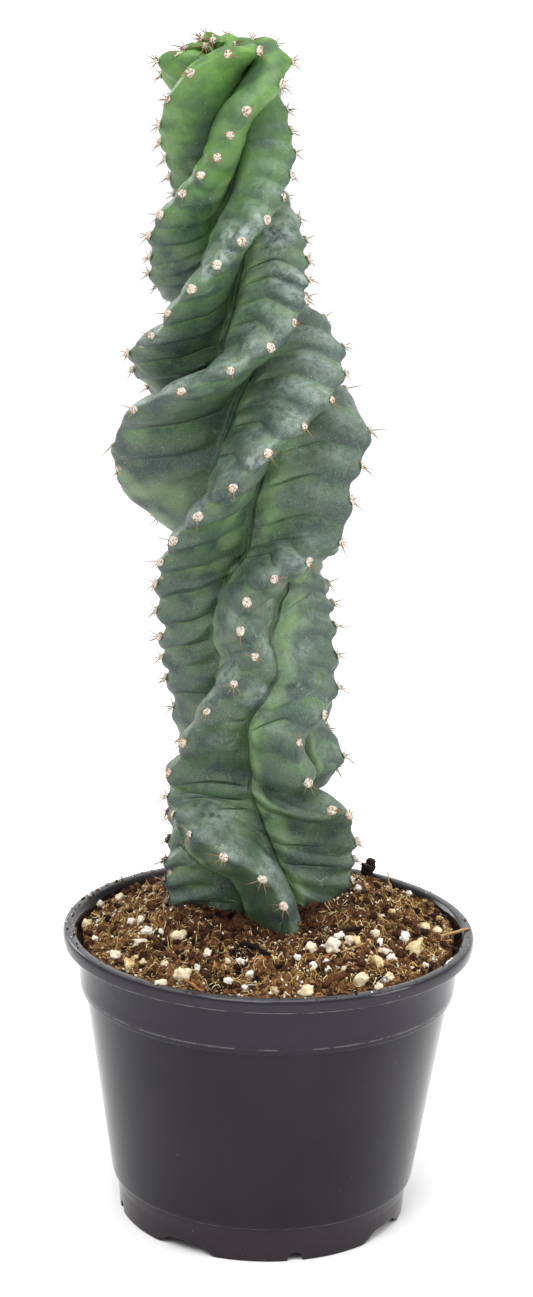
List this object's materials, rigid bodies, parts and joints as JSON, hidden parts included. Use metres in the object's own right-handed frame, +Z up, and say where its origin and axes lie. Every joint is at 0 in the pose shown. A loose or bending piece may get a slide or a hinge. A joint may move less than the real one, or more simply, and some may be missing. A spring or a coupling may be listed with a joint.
{
  "type": "potted spiral cactus",
  "caption": "Columnar cactus with ribs twisted in a spiral, spiny along each rib, standing in a plain black nursery pot full of potting mix.",
  "frame": {"origin": "centre of the circle that the pot stands on, at the bottom of its foot", "axes": "+Z up along the pot's axis; the plant's front, as pictured, faces -Y"},
  "size_m": [0.165, 0.165, 0.4721],
  "materials": {
    "pot_plastic": "black injection-moulded polypropylene with a low sheen",
    "potting_mix": "loose brown peaty mix with white perlite and bark chips",
    "cactus_skin": "blue-green waxy skin with a pale bloom, cream woolly cushions and brown spines"
  },
  "bodies": {
    "root": {"pot": "pot_plastic", "soil": "potting_mix", "stem": "cactus_skin"}
  },
  "joints": []
}
